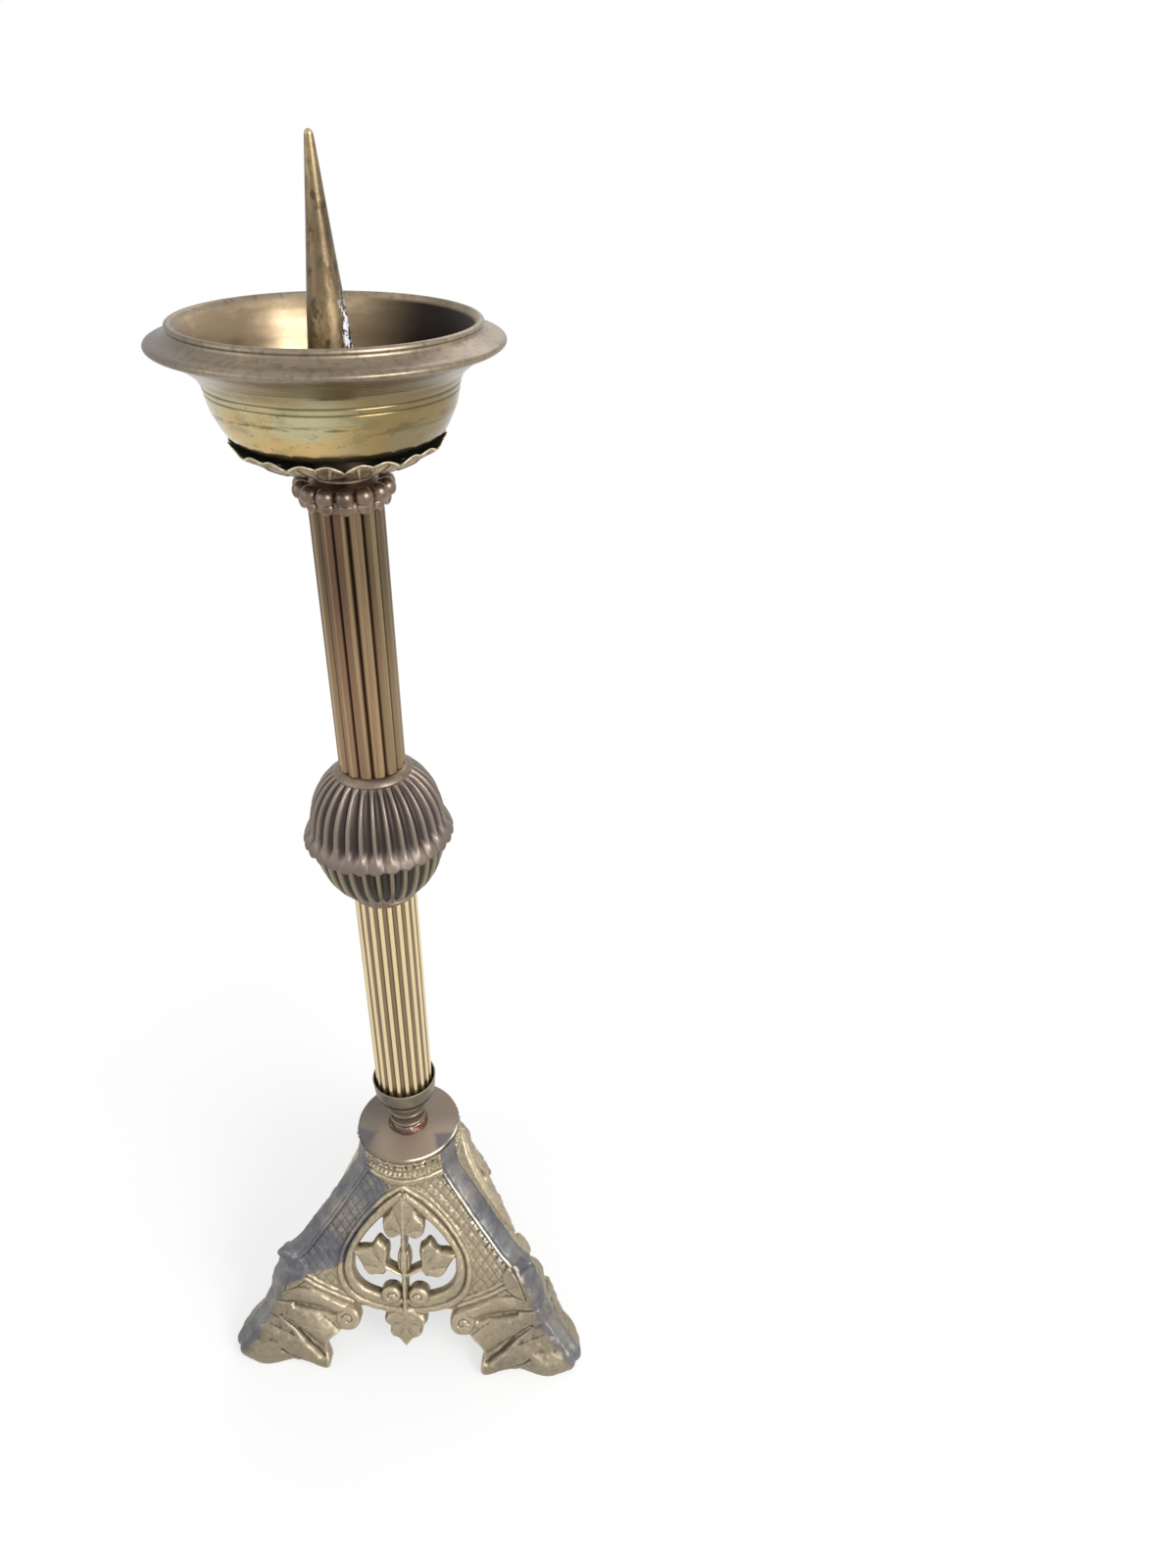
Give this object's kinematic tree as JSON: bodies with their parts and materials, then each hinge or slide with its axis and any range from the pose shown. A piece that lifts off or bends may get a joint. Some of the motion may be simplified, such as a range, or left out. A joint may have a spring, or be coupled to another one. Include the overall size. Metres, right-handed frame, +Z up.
{
  "type": "pricket candle stand",
  "caption": "Gothic revival altar candle stand: spike and drip pan on fluted columns with a lobed knop, over a three sided pierced foot with leaf shaped feet.",
  "frame": {"origin": "on the floor, on the stand's upright axis", "axes": "+Z up along the columns and the spike, -Y towards the front panel of the three sided foot, +X to the right"},
  "size_m": [0.155, 0.1431, 0.5],
  "materials": {
    "spike_brass": "worn satin with brown mottling",
    "pan_brass": "polished outside, brown patina inside and on the rim",
    "turned_brass": "brown satin patina",
    "gallery_brass": "grey brown patina with gilt edges",
    "bead_brass": "brown satin patina, worn crowns",
    "upper_column_brass": "brown gold with green and red stains",
    "knop_brass": "dark mauve brown patina, pale ridges",
    "lower_column_brass": "bright worn reeds, brown flutes",
    "socket_brass": "grey brown patina",
    "braze": "rough coppery braze",
    "plate_brass": "taupe satin patina",
    "foot_brass": "khaki cast brass with grey tarnish on the corners",
    "seam_braze": "dark dull filler",
    "iron": "dull rusted iron"
  },
  "bodies": {
    "root": {"pricket_spike": "spike_brass", "drip_pan": "pan_brass", "pan_foot": "turned_brass", "leaf_gallery": "gallery_brass", "neck_washer": "turned_brass", "bead_capital": "bead_brass", "upper_column": "upper_column_brass", "knop_upper_collar": "turned_brass", "knop_upper_shell": "knop_brass", "knop_lower_shell": "knop_brass", "knop_lower_collar": "turned_brass", "lower_column": "lower_column_brass", "socket_cup": "socket_brass", "socket_neck": "socket_brass", "braze_ring": "braze", "top_plate": "plate_brass", "base_panel_front": "foot_brass", "base_panel_right": "foot_brass", "base_panel_left": "foot_brass", "corner_braze_right": "seam_braze", "corner_braze_rear": "seam_braze", "corner_braze_left": "seam_braze", "tie_rod": "iron", "foot_washer": "iron", "foot_nut": "iron"}
  },
  "joints": []
}
